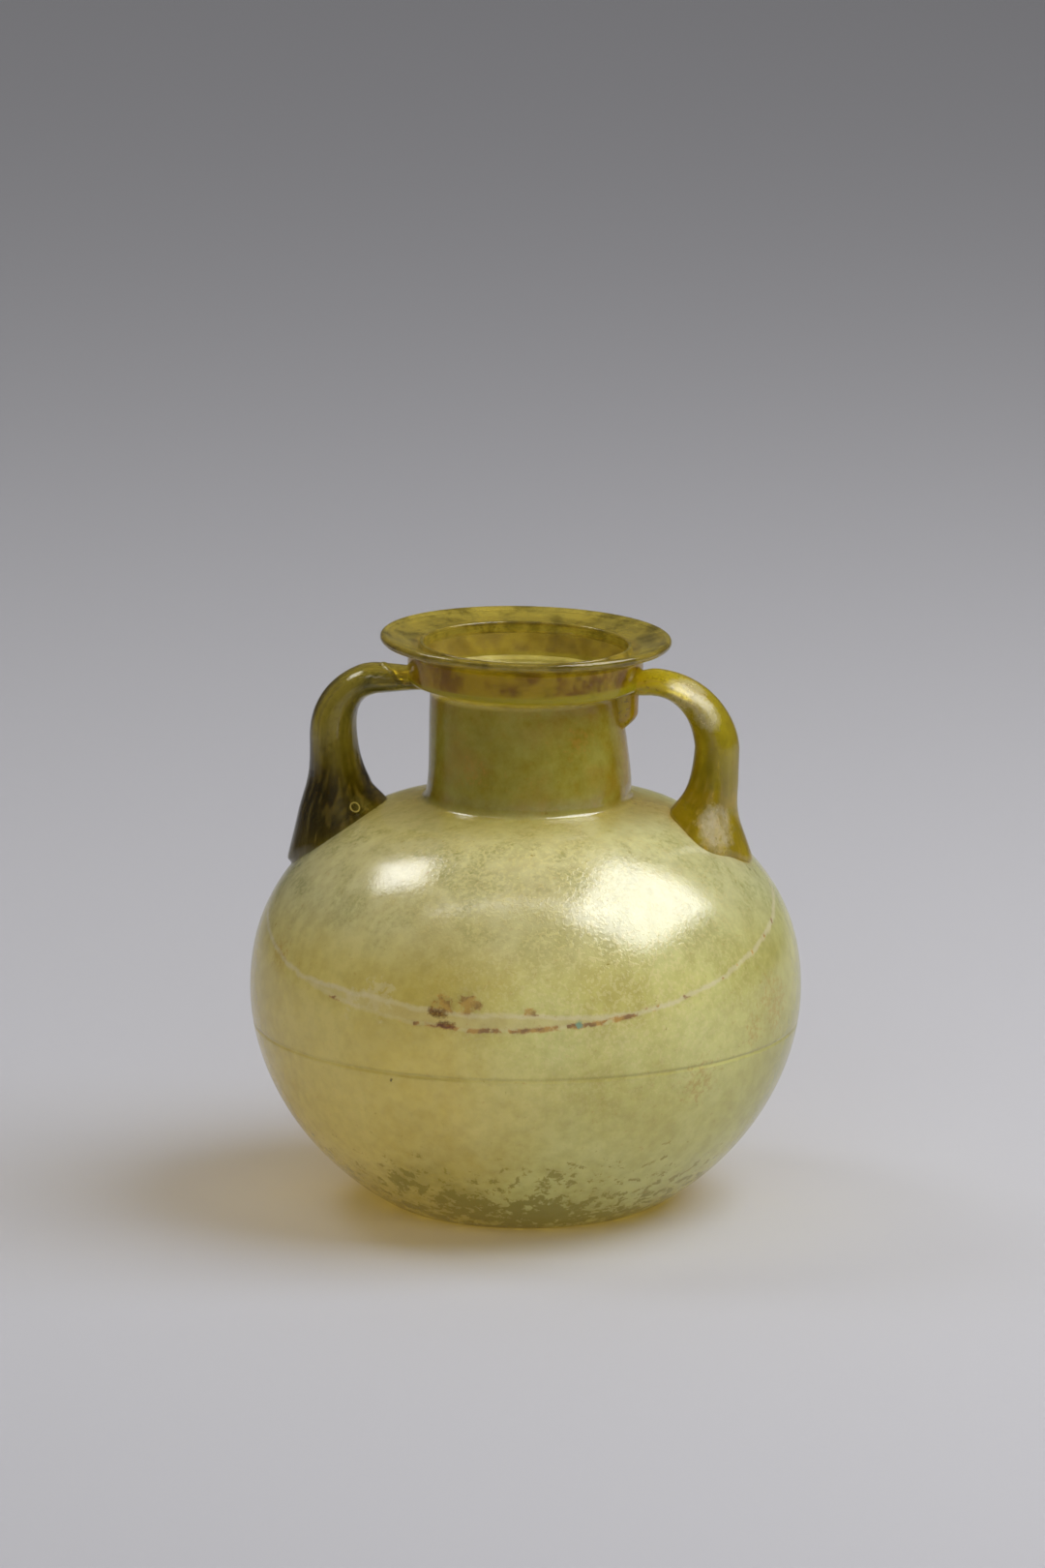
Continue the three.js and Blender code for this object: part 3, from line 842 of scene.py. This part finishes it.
def weathered_blown_glass(colours):
    """Free-blown soda-lime glass, buried for centuries: its skin has dried into a thin milky film,
    so it glows softly, blurs its highlights, and is clear only where the film has flaked off."""
    material, tree = empty_material("weathered blown glass")
    add = partial(add_node, tree)
    place = add("ShaderNodeTexCoord").outputs["Object"]
    x, y, z = add("ShaderNodeSeparateXYZ", {0: place}).outputs

    # thicker and thinner film in clouds of about 25 mm, and mottling of 3 mm
    clouds = add(NOISE, {"Vector": place, "Scale": 40, "Detail": 4, "Roughness": 0.5})
    mottle = add(NOISE, {"Vector": place, "Scale": 320, "Detail": 5, "Roughness": 0.6})
    cloudy = add(RANGE, (clouds, 0.36, 0.62, 0.78, 1))
    mottled = add(RANGE, (mottle, 0.36, 0.6, 0.9, 1))
    film = add(MATHS, (cloudy, mottled), operation="MULTIPLY")

    # greener towards the right, with patches of about 60 mm
    hue = add(NOISE, {"Vector": place, "Scale": 16, "Detail": 2})
    across = add(MATHS, (x, 4, hue), operation="MULTIPLY_ADD")
    greener = add(RANGE, (across, 0.42, 0.66))
    milky = add(MIX, {0: greener, 6: colours.film, 7: colours.green_film}, data_type="RGBA")
    # towards the right edge the colour goes partly back to the darker clean glass: painted shade of the right
    # limb
    painted_shade_right_side = add(RANGE, (x, 0.044, 0.057, 0, 0.4))
    high = add(RANGE, (z, 0.056, 0.072), interpolation_type="SMOOTHSTEP")
    # the shoulder's top is paler and whiter: partly thicker film, partly a painted sheen from the lamps above
    thick_film_and_sheen = add(MATHS, (high, 0.45), operation="MULTIPLY")

    # on the shoulder the film is broken up into flecks of 1 mm
    flecks = add(NOISE, {"Vector": place, "Scale": 900, "Detail": 4, "Roughness": 0.65})
    broken = add(RANGE, (flecks, 0.36, 0.62, 0.15, 0.95))
    smears = add(NOISE, {"Vector": place, "Scale": 110, "Detail": 6, "Roughness": 0.6, "Distortion": 0.4})
    worn = add(RANGE, (smears, 0.44, 0.62, 0, 0.75))
    worn_high = add(MATHS, (worn, high), operation="MULTIPLY")
    flecked = add(MATHS, (worn_high, broken), operation="MULTIPLY")
    # grains of about 0.8 mm stand on the film between the two sheens
    grainy = near_points(tree, place, GRAINY)
    grain = add(NOISE, {"Vector": place, "Scale": 1250, "Detail": 2, "Roughness": 0.5})
    grains = add(RANGE, (grain, 0.5, 0.6))
    standing = add(MATHS, (grains, grainy), operation="MULTIPLY")
    paler = add(MATHS, (standing, 0.9), operation="MULTIPLY")

    # the neck is barer: olive, with grey-green film in patches of 6 mm
    on_neck = add(RANGE, (z, 0.08, 0.0872), interpolation_type="SMOOTHSTEP")
    patches = add(NOISE, {"Vector": place, "Scale": 170, "Detail": 8, "Roughness": 0.72})
    patchy = add(RANGE, (patches, 0.36, 0.62, 0.1, 0.75))
    tan = add(RANGE, (smears, 0.48, 0.7, 0, 0.45))
    neck = coated(tree, colours.neck, [(patchy, colours.neck_film), (tan, colours.neck_dust)])

    # crust near the base, in flakes of 2 to 5 mm that get denser downwards
    flakes = add(NOISE, {"Vector": place, "Scale": 360, "Detail": 7, "Roughness": 0.68, "Distortion": 0.3})
    low = add(RANGE, (z, 0.001, 0.027, 0.12, -0.1))
    denser = add(MATHS, (near_points(tree, place, CRUSTED), 0.12, low), operation="MULTIPLY_ADD")
    flakes_low = add(MATHS, (flakes, denser), operation="ADD")
    crust = add(RANGE, (flakes_low, 0.56, 0.6, 0, 0.75))

    # bare glass in the wheel-cut line
    from_cut = add(MATHS, (z, LINE_HEIGHT), operation="SUBTRACT")
    off_cut = add(MATHS, (from_cut,), operation="ABSOLUTE")
    cut = add(RANGE, (off_cut, LINE_WIDTH * 0.15, LINE_WIDTH * 0.7, 0.16, 0))

    # the tide line of a liquid that dried up while the jar lay tilted: distance over its plane
    tilted = add(VECTOR, (place, TIDE_NORMAL), operation="DOT_PRODUCT")
    waver = add(RANGE, (patches, 0, 1, -0.0013, 0.0013))
    wavering = add(MATHS, (tilted, waver), operation="ADD")
    above = add(MATHS, (wavering, TIDE_HEIGHT), operation="SUBTRACT")
    # in front a second line runs up to 3 mm over the first, with smooth film between them
    middle = add(RANGE, (x, 0.036, 0.002, 0, TIDE_RISE), interpolation_type="SMOOTHSTEP")
    front = add(RANGE, (y, -0.036, -0.053), interpolation_type="SMOOTHSTEP")
    rise = add(MATHS, (middle, front), operation="MULTIPLY")
    over_second = add(MATHS, (above, rise), operation="SUBTRACT")
    lines = []
    for distance, breadth, strength in ((above, 0.0006, 0.4), (over_second, 0.0007, 0.75)):
        off = add(MATHS, (distance,), operation="ABSOLUTE")
        lines.append(add(RANGE, (off, breadth * 0.3, breadth, strength, 0)))
    edge = add(MATHS, lines, operation="MAXIMUM")
    over_first = add(RANGE, (above, 0, 0.0003))
    under_second = add(RANGE, (over_second, -0.0003, 0, 0.6, 0))
    between = add(MATHS, (over_first, under_second), operation="MULTIPLY")
    # brown and orange flakes of 1 to 3 mm lie on the first line, and blotches over the second
    dashes = add(NOISE, {"Vector": place, "Scale": 360, "Detail": 2.5, "Roughness": 0.5})
    flaked = near_patches(
        tree, place, dashes, FLAKED_STRETCH, fade=0.5, lift=(-0.14, 0.08), edge=(0.47, 0.54), share=0.85
    )
    wide = add(MATHS, (above,), operation="ABSOLUTE")
    on_first = add(RANGE, (wide, 0.0003, 0.0007, 1, 0))
    flakes_on = add(MATHS, (flaked, on_first), operation="MULTIPLY")
    blotches = near_patches(
        tree, place, flakes, BLOTCHES, fade=0.6, lift=(-0.2, 0.08), edge=(0.48, 0.58), share=0.75
    )
    over_line = add(RANGE, (over_second, -0.0002, 0.0003))
    blotches_on = add(MATHS, (blotches, over_line), operation="MULTIPLY")
    browned = add(MATHS, (flakes_on, blotches_on), operation="MAXIMUM")
    rusty = add(RANGE, (mottle, 0.42, 0.56))
    brown = add(MIX, {0: rusty, 6: colours.stain, 7: colours.rust}, data_type="RGBA")

    # pale flakes beside the tide line, and single marks with ragged outlines
    ragged = add(VECTOR, (flecks.outputs["Color"], (0.002,) * 3, place), operation="MULTIPLY_ADD")
    ragged = add(VECTOR, (ragged, (0.001,) * 3), operation="SUBTRACT")
    pale = near_patches(
        tree, place, flakes, PALE_FLAKES, fade=0.7, lift=(-0.3, 0.06), edge=(0.5, 0.57), share=0.5
    )
    marks = []
    for mark, mark_colour in MARKS:
        at_mark = add(RANGE, (near_points(tree, ragged, (mark,)), 0.1, 0.5, 0, 0.8))
        marks.append((at_mark, linear(mark_colour)))

    # soil specks of about 1 mm, in groups
    specks = near_patches(
        tree, place, flecks, SPECKS, fade=0.7, lift=(-0.15, 0.04), edge=(0.46, 0.62), share=0.4
    )

    # film lies on the outside; inside and in the cup the glass is nearly clean
    inner = add("ShaderNodeAttribute", attribute_name="inner").outputs["Fac"]
    in_cup = add(RANGE, (z, 0.1068, 0.108))
    cleaned = add(MATHS, (inner, in_cup), operation="MAXIMUM")
    thin_soil = add(RANGE, (patches, 0.46, 0.64, 0, 0.5))
    lining = add(MIX, {0: thin_soil, 6: colours.inside, 7: colours.inside_soil}, data_type="RGBA")

    coats = [
        (film, milky),
        # painted shade of the right limb
        (painted_shade_right_side, colours.glass),
        # thicker film and painted sheen of the shoulder
        (thick_film_and_sheen, colours.shoulder_film_and_sheen),
        (flecked, colours.fleck),
        (paler, colours.dust),
        (on_neck, neck),
        (crust, colours.crust),
        (cut, colours.glass),
        (between, colours.strip),
        (edge, colours.edge),
        (browned, brown),
        (pale, colours.edge),
        *marks,
        (specks, colours.rust),
        (cleaned, lining),
    ]
    surface = coated(tree, colours.glass, coats)

    dirt = add(MATHS, (crust, browned), operation="MAXIMUM")
    skin_clear = add(RANGE, (film, 0.7, 1, 0.55, 0.36))
    neck_clear = add(MATHS, (on_neck, -0.18, skin_clear), operation="MULTIPLY_ADD")
    dirty_clear = add(MIX, {0: dirt, 2: neck_clear, 3: 0.15})
    clear = add(MIX, {0: cleaned, 2: dirty_clear, 3: 0.8})
    rough = add(RANGE, (film, 0.7, 1, 0.14, 0.19))
    # the layered film of the shoulder is pearly, so it reflects more than bare glass
    over_bowl = add(RANGE, (z, 0.05, 0.066, 0.4, 1))
    over_fillet = add(RANGE, (z, 0.0862, 0.0895))
    pearly = add(MIX, {0: over_fillet, 2: over_bowl, 3: 0.12})
    relief = add(MATHS, (standing, 0.5, flecks), operation="MULTIPLY_ADD")
    bump = add(BUMP, {"Strength": 0.35, "Distance": 0.0001, "Height": relief})
    glass_output(tree, ("#eadfb2", "#c9c766", 45), surface, rough, SKIN_INDEX, pearly, clear, bump)
    return material


def trailed_glass(name, tones, clear, gloss, matt, strand, inside, frost_and_highlight, bubble=NO_BUBBLE):
    """A hot trail of thick soda-lime glass drawn out by hand: coloured through, so it is darkest
    where it is thickest, with streaks along its length, and thin frosting in places that also paints
    highlights."""
    material, tree = empty_material(name)
    add = partial(add_node, tree)
    colour = tones[0]
    streak, deep, frost_and_highlight_tone = [linear(code) for code in tones[1:]]
    place = add("ShaderNodeTexCoord").outputs["Object"]
    trail = add("ShaderNodeAttribute", attribute_name="trail").outputs["Vector"]
    # streaks about 1.4 mm wide and 14 mm long
    drawn = add("ShaderNodeMapping", {"Vector": trail, "Scale": (700, 700, 70)})
    streaks = add(NOISE, {"Vector": drawn, "Scale": 1, "Detail": 4})
    folds = add(NOISE, {"Vector": drawn, "Scale": 0.45, "Detail": 2})
    # frosting and painted highlights in patches of about 7 mm, and pits of 0.5 mm, drawn at 0.9 mm so that
    # they show
    patches = add(NOISE, {"Vector": trail, "Scale": 140, "Detail": 6, "Roughness": 0.7})
    pits = add(NOISE, {"Vector": place, "Scale": 1150, "Detail": 2})
    streaked = add(RANGE, (streaks, 0.53, 0.62, 0, 0.7))
    along = add("ShaderNodeSeparateXYZ", {0: trail}).outputs["Z"]
    thinner = add(RANGE, (along, 0.012, 0.04, -0.2, 0.26))
    drawn_thin = add(MATHS, (folds, thinner), operation="ADD")
    deeper = add(RANGE, (drawn_thin, 0.3, 0.72))
    # near the given spots the pale patches grow: frost, and on the right handle painted highlights
    near = near_points(tree, place, frost_and_highlight)
    worn = add(RANGE, (near, 0, 0.6, -0.6, 0.1))
    frost_and_highlight_patches = add(MATHS, (patches, worn), operation="ADD")
    grainy = add(MATHS, (pits, 0.5, frost_and_highlight_patches), operation="MULTIPLY_ADD")
    frost_and_highlight_mask = add(RANGE, (grainy, 0.6, 1.1, 0, 0.7))
    far = add(VECTOR, (place, bubble), operation="DISTANCE")
    ring = add(MATHS, (far, BUBBLE_RADIUS), operation="SUBTRACT")
    ring_off = add(MATHS, (ring,), operation="ABSOLUTE")
    ringed = add(RANGE, (ring_off, 0.0001, 0.0003, 0.65, 0))
    pitted = add(RANGE, (pits, 0.55, 0.66, 0, 0.5))
    # the pale tone is frost and painted highlight, and it also colours the bubble's ring
    coats = [(deeper, colour), (streaked, streak), (frost_and_highlight_mask, frost_and_highlight_tone), (ringed, frost_and_highlight_tone), (pitted, deep)]
    skin = coated(tree, deep, coats)
    rough = add(RANGE, (frost_and_highlight_patches, 0.45, 0.75, gloss, matt))
    strands = add(MATHS, (streaked, strand), operation="MULTIPLY")
    hazy = add(MATHS, (frost_and_highlight_mask, strands), operation="MAXIMUM")
    cloudy = add(MATHS, (hazy, ringed), operation="MAXIMUM")
    let_through = add(MIX, {0: cloudy, 2: clear, 3: 0.25})
    relief = add(MATHS, (streaks, patches), operation="ADD")
    bump = add(BUMP, {"Strength": 0.45, "Distance": 0.0003, "Height": relief})
    glass_output(tree, inside, skin, rough, GLASS_INDEX, 0.65, let_through, bump)
    return material


def worked_glass(name, tones, clear, gloss, inside, edge=NO_EDGE):
    """Glass of the mouth, folded and reheated: clearer than the bubble, with tool marks that run
    round it, thin soil in its hollows and strings of tiny bubbles."""
    material, tree = empty_material(name)
    add = partial(add_node, tree)
    colour, soil_colour, edge_colour = tones
    place = add("ShaderNodeTexCoord").outputs["Object"]
    z = add("ShaderNodeSeparateXYZ", {0: place}).outputs["Z"]
    # soil in patches of 4 to 6 mm
    soil = add(NOISE, {"Vector": place, "Scale": 190, "Detail": 6, "Roughness": 0.65})
    # tool marks are about 1 mm apart
    marks = add(
        "ShaderNodeTexWave",
        {"Vector": place, "Scale": 320, "Distortion": 1.5, "Detail": 2},
        wave_type="RINGS",
        rings_direction="Z",
    )
    soiled = add(RANGE, (soil, 0.46, 0.58, 0, 0.9))
    at_edge = add(RANGE, (z, *edge, 1, 0))
    # bubbles are under 0.2 mm, drawn at 0.4 mm so that they show
    cells = add("ShaderNodeTexVoronoi", {"Vector": place, "Scale": 420})
    dots = add(RANGE, (cells.outputs["Distance"], 0.05, 0.12, 1, 0))
    some = add(RANGE, (soil, 0.5, 0.54, 0, 0.7))
    bubbles = add(MATHS, (dots, some), operation="MULTIPLY")
    coats = [(soiled, soil_colour), (at_edge, edge_colour), (bubbles, linear("#f4edbe"))]
    skin = coated(tree, colour, coats)
    rough = add(RANGE, (soil, 0.4, 0.65, 0.05, 0.13))
    small = add(MATHS, (marks, 0.12, soil), operation="MULTIPLY_ADD")
    bump = add(BUMP, {"Strength": 0.4, "Distance": 0.0002, "Height": small})
    glass_output(tree, inside, skin, rough, GLASS_INDEX, gloss, clear, bump)
    return material


def studio_paper(colours):
    """Matt paper sweep under the jar: it takes a soft shadow and shows no gloss."""
    material, tree = empty_material("studio paper")
    place = add_node(tree, "ShaderNodeTexCoord").outputs["Object"]
    fibre = add_node(tree, NOISE, {"Vector": place, "Scale": 400, "Detail": 4})
    bump = add_node(tree, BUMP, {"Strength": 0.1, "Distance": 0.0002, "Height": fibre})
    shader = add_node(
        tree,
        PRINCIPLED,
        {"Base Color": colours.floor, "Roughness": 0.9, "Specular IOR Level": 0.2, "Normal": bump},
    )
    add_node(tree, "ShaderNodeOutputMaterial", {"Surface": shader})
    return material


class JAR_OT_body(bpy.types.Operator):
    """Adds the blown bubble: base, bowl, shoulder, neck and cup"""

    bl_idname = "jar.body"
    bl_label = "Blown body"

    def execute(self, context):
        jar = context.scene.glass_jar
        vertices, faces, inner = blown_body(jar.sizes)
        piece = leaned("glass_body", (vertices, faces), jar.sizes)
        attribute = piece.data.attributes.new("inner", "FLOAT", "POINT")
        attribute.data.foreach_set("value", inner.astype(np.float32))
        finish_piece(piece, "body", weathered_blown_glass(jar.colours))
        return {"FINISHED"}


class JAR_OT_mouth(bpy.types.Operator):
    """Adds the folded collar and the flanged rim"""

    bl_idname = "jar.mouth"
    bl_label = "Collar and rim"

    def execute(self, context):
        sizes = context.scene.glass_jar.sizes
        colours = context.scene.glass_jar.colours
        collar = leaned("glass_collar", folded_collar(sizes), sizes)
        bottom = sizes.cup_top - sizes.collar_height
        amber = worked_glass(
            "folded amber glass",
            (colours.collar, colours.collar_soil, colours.collar_edge),
            clear=0.76,
            gloss=0.06,
            inside=("#f2e0a0", "#ece41c", 1300),
            edge=[bottom + over for over in YELLOW_FADE],
        )
        finish_piece(collar, "collar", amber)
        rim = leaned("glass_rim", flanged_rim(sizes), sizes)
        olive = worked_glass(
            "flanged olive glass",
            (colours.rim, colours.rim_soil, colours.rim),
            clear=0.72,
            gloss=0.6,
            inside=("#f0eec4", "#d0cb28", 170),
        )
        finish_piece(rim, "rim", olive)
        return {"FINISHED"}


class JAR_OT_handles(bpy.types.Operator):
    """Adds the two ribbed handles with their folded ends"""

    bl_idname = "jar.handles"
    bl_label = "Handles"

    def execute(self, context):
        sizes = context.scene.glass_jar.sizes
        colours = context.scene.glass_jar.colours
        reach = sizes.body_radius - sizes.right_inset
        right = trail_handle("glass_handle_right", sizes, RIGHT_HANDLE, reach, folded_tail(sizes))
        amber = trailed_glass(
            "trailed amber glass",
            # the last tone is the frost, which also paints highlights
            tones=(colours.right_handle, "#b09a44", "#8c7e10", "#e4e0d4"),
            clear=0.6,
            gloss=0.16,
            matt=0.36,
            strand=0.12,
            inside=("#e8cc74", "#f4ee80", 90),
            frost_and_highlight=RIGHT_FROST_AND_HIGHLIGHT,
        )
        finish_piece(right, "handle_right", amber)
        reach = sizes.body_radius - sizes.left_inset
        left = trail_handle("glass_handle_left", sizes, LEFT_HANDLE, reach, folded_roll(sizes))
        olive = trailed_glass(
            "trailed olive glass",
            tones=(colours.left_handle, "#96803c", "#786e1c", "#d0c07c"),
            clear=0.93,
            gloss=0.08,
            matt=0.14,
            strand=0.4,
            inside=("#b8b060", "#d2c838", 240),
            frost_and_highlight=LEFT_FROST,
            bubble=LEFT_BUBBLE,
        )
        finish_piece(left, "handle_left", olive)
        return {"FINISHED"}


class JAR_OT_stage(bpy.types.Operator):
    """Adds the floor, the plain soft light and the camera"""

    bl_idname = "jar.stage"
    bl_label = "Floor, light and camera"

    def execute(self, context):
        scene = context.scene
        jar = scene.glass_jar
        corners = [(x * FLOOR_REACH, y * FLOOR_REACH, 0) for x, y in ((-1, -1), (1, -1), (1, 1), (-1, 1))]
        floor = new_object("studio_floor", corners, [(0, 1, 2, 3)])
        floor.data.materials.append(studio_paper(jar.colours))
        world = bpy.data.worlds.new("soft studio")
        world.use_nodes = True
        sky = world.node_tree.nodes["Background"]
        sky.inputs["Color"].default_value = linear("#ebebee")
        sky.inputs["Strength"].default_value = 0.09
        scene.world = world
        # name, azimuth from the front, elevation, distance, width, height, watts
        for name, azimuth, elevation, distance, width, height, power in (
            ("softbox_right", 92, 54, 1, 0.88, 0.66, 10),
            ("softbox_left", -112, 54, 1, 0.29, 0.27, 1.5),
            ("strip_above", 8, 76, 1.3, 1.6, 0.07, 1.4),
            ("fill_front", 6, 28, 2.6, 2.2, 2.2, 20),
            ("fill_back", 194, 40, 2.6, 2.2, 2.2, 9),
        ):
            light = bpy.data.lights.new(name, "AREA")
            light.shape = "RECTANGLE"
            light.size = width
            light.size_y = height
            light.energy = power
            lamp = bpy.data.objects.new(name, light)
            scene.collection.objects.link(lamp)
            towards = direction(azimuth, elevation)
            lamp.location = AIM + towards * distance
            lamp.rotation_euler = towards.to_track_quat("Z", "Y").to_euler()
            lamp.visible_glossy = not name.startswith("fill")
        place_camera(scene)
        scene.view_settings.view_transform = "Standard"
        return {"FINISHED"}


def direction(azimuth, elevation):
    """Unit vector from the jar, by degrees round from the front and up."""
    turn = math.radians(azimuth)
    up = math.radians(elevation)
    return Vector((math.cos(up) * math.sin(turn), -math.cos(up) * math.cos(turn), math.sin(up)))


def place_camera(scene):
    """Puts the camera at the photograph's viewing angle and distance."""
    distance = 2.1177
    image_width = 1080
    focal = 10588
    # pixels that the point aimed at lies right of the image's middle, and under it
    right_shift = 3.2
    down_shift = 135.1
    towards = direction(8, 13.144)
    ahead = -towards
    right = ahead.cross(Vector((0, 0, 1))).normalized()
    up = right.cross(ahead)
    aim = ahead - right * (right_shift / focal) + up * (down_shift / focal)
    data = bpy.data.cameras.new("camera")
    data.sensor_fit = "HORIZONTAL"
    data.sensor_width = 36
    data.lens = 36 * focal / image_width
    data.clip_end = 30
    camera = bpy.data.objects.new("camera", data)
    scene.collection.objects.link(camera)
    camera.location = AIM + towards * distance
    camera.rotation_euler = aim.to_track_quat("-Z", "Y").to_euler()
    scene.camera = camera


class JAR_PT_panel(bpy.types.Panel):
    """Lists the jar's pieces, sizes and colours"""

    bl_idname = "JAR_PT_panel"
    bl_label = "Glass jar"
    bl_space_type = "VIEW_3D"
    bl_region_type = "UI"
    bl_category = "Glass jar"

    def draw(self, context):
        layout = self.layout
        for operator in OPERATORS:
            layout.operator(operator.bl_idname)
        jar = context.scene.glass_jar
        for group in (jar.sizes, jar.colours):
            box = layout.box()
            for key in group.bl_rna.properties.keys():
                if key not in ("rna_type", "name"):
                    box.prop(group, key)


OPERATORS = (JAR_OT_body, JAR_OT_mouth, JAR_OT_handles, JAR_OT_stage)
CLASSES = (JarSizes, JarColours, JarSettings, *OPERATORS, JAR_PT_panel)


def register():
    """Registers the classes and puts the settings on the scene."""
    for each in CLASSES:
        bpy.utils.register_class(each)
    bpy.types.Scene.glass_jar = PointerProperty(type=JarSettings)


def unregister():
    """Takes the settings and the classes away again."""
    del bpy.types.Scene.glass_jar
    for each in reversed(CLASSES):
        bpy.utils.unregister_class(each)


def main():
    register()
    bpy.ops.jar.body()
    bpy.ops.jar.mouth()
    bpy.ops.jar.handles()
    bpy.ops.jar.stage()


if __name__ == "__main__":
    main()
